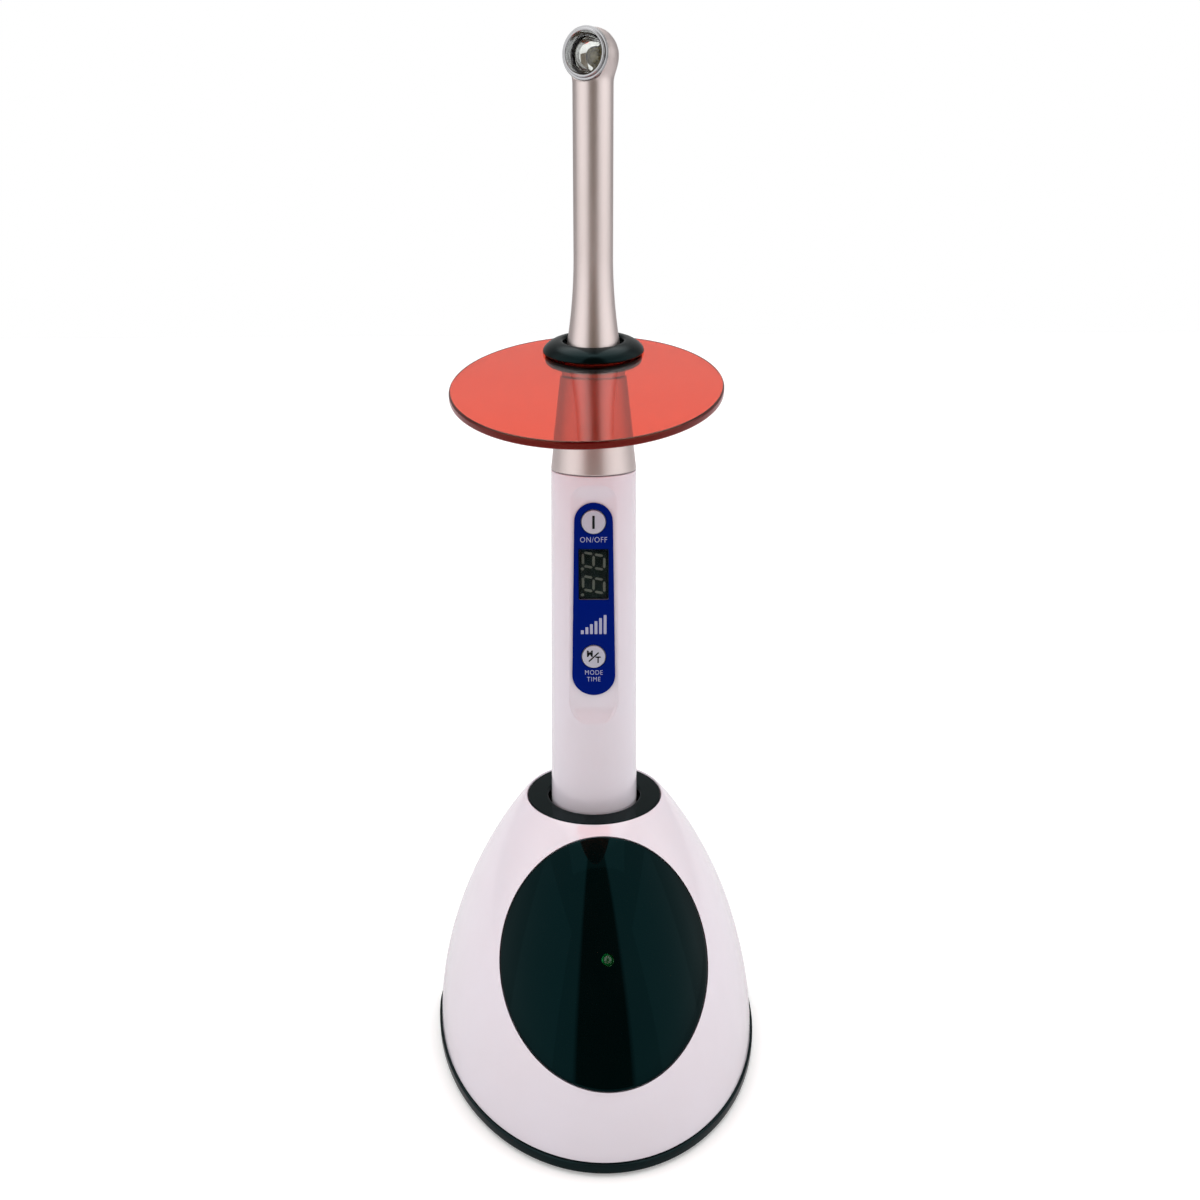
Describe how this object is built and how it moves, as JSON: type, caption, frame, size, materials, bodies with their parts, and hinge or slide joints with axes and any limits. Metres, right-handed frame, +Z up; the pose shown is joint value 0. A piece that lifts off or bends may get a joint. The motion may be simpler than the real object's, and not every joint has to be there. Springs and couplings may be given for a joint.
{
  "type": "dental curing light",
  "caption": "Cordless dental curing light with a swivelling head and tilted orange eye shield, standing in an egg-shaped charging base.",
  "frame": {"origin": "middle of the charging base's footprint, on the table", "axes": "+Z up along the handpiece, -Y towards the front of the base, +X to the viewer's right"},
  "size_m": [0.1044, 0.1208, 0.3024],
  "materials": {
    "white_plastic": "polished white plastic",
    "black_gloss": "polished black plastic",
    "black_plastic": "fine matt black plastic",
    "rubber": "smooth black rubber",
    "rose_metal": "satin rose-silver anodised metal",
    "chrome": "polished",
    "mirror": "vacuum-coated reflector",
    "steel": "plain steel",
    "brass": "gold-flashed contacts",
    "circuit": "green solder mask",
    "blue_label": "printed membrane",
    "grey_button": "satin grey plastic",
    "orange_acrylic": "polished orange light filter",
    "clear_glass": "polished",
    "smoked_window": "smoked display window",
    "green_lamp": "tinted lamp body",
    "cell_wrap": "shrink sleeve",
    "red_wire": "insulated wire",
    "black_wire": "insulated wire"
  },
  "bodies": {
    "charger_base": {"base_shell": "white_plastic", "front_window": "black_gloss", "bottom_plate": "black_plastic", "socket_cup": "black_plastic", "socket_ring": "black_gloss", "charger_board": "circuit", "contact_block": "black_plastic", "power_inlet": "black_plastic", "ballast_weight": "steel", "indicator_lamp": "green_lamp", "indicator_board": "circuit", "rubber_foot_1": "rubber", "rubber_foot_2": "rubber", "rubber_foot_3": "rubber", "rubber_foot_4": "rubber", "base_screw_1": "steel", "base_screw_2": "steel", "base_screw_3": "steel", "base_screw_4": "steel", "pin_spring_1": "steel", "pin_spring_2": "steel"},
    "charge_pin_1": {"charge_pin_1": "brass"},
    "charge_pin_2": {"charge_pin_2": "brass"},
    "handpiece": {"handle_shell": "white_plastic", "label_panel": "blue_label", "display_window": "smoked_window", "display_module": "black_plastic", "power_switch": "black_plastic", "mode_switch": "black_plastic", "main_board": "circuit", "control_chip": "black_plastic", "driver_inductor": "black_plastic", "buzzer": "black_plastic", "battery_cell": "cell_wrap", "battery_tab": "steel", "battery_spring": "steel", "tail_cap": "black_plastic", "tail_contact_ring": "brass", "tail_contact_centre": "brass", "front_collar": "rose_metal", "handle_seal": "rubber", "swivel_jack": "black_plastic"},
    "power_button": {"power_button": "grey_button"},
    "mode_button": {"mode_button": "grey_button"},
    "head": {"neck_tube": "rose_metal", "neck_seal": "rubber", "neck_clip": "steel", "swivel_plug": "brass", "head_bezel": "chrome", "lens": "clear_glass", "reflector": "mirror", "led_emitter": "clear_glass", "led_board": "steel", "wire_positive": "red_wire", "wire_negative": "black_wire"},
    "shield_ring": {"shield_grommet": "rubber"},
    "shield_disc": {"shield_disc": "orange_acrylic"}
  },
  "joints": [
    {"name": "handpiece_lift", "type": "slide", "parent": "charger_base", "child": "handpiece", "axis": [0, 0, 1], "range_m": [0, 0.06]},
    {"name": "head_swivel", "type": "hinge", "parent": "handpiece", "child": "head", "pos_m": [0, 0.0157, 0.2108], "axis": [0, 0, 1], "range_deg": [-155, 205]},
    {"name": "shield_slide", "type": "slide", "parent": "head", "child": "shield_ring", "axis": [0, 0, 1], "range_m": [0, 0.1], "deforming": ["shield_grommet"]},
    {"name": "shield_spin", "type": "hinge", "parent": "shield_ring", "child": "shield_disc", "pos_m": [0, 0.0157, 0.2188], "axis": [-0.0233, -0.1773, 0.9839], "continuous": true},
    {"name": "power_press", "type": "slide", "parent": "handpiece", "child": "power_button", "axis": [0.0785, 0.9969, 0], "range_m": [0, 0.00025], "stiffness_N_per_m": 2000},
    {"name": "mode_press", "type": "slide", "parent": "handpiece", "child": "mode_button", "axis": [0.0785, 0.9969, 0], "range_m": [0, 0.00025], "stiffness_N_per_m": 2000},
    {"name": "charge_pin_1_press", "type": "slide", "parent": "charger_base", "child": "charge_pin_1", "axis": [0, 0, -1], "range_m": [0, 0.0015], "stiffness_N_per_m": 300, "deforming": ["pin_spring_1"]},
    {"name": "charge_pin_2_press", "type": "slide", "parent": "charger_base", "child": "charge_pin_2", "axis": [0, 0, -1], "range_m": [0, 0.0015], "stiffness_N_per_m": 300, "deforming": ["pin_spring_2"]}
  ]
}
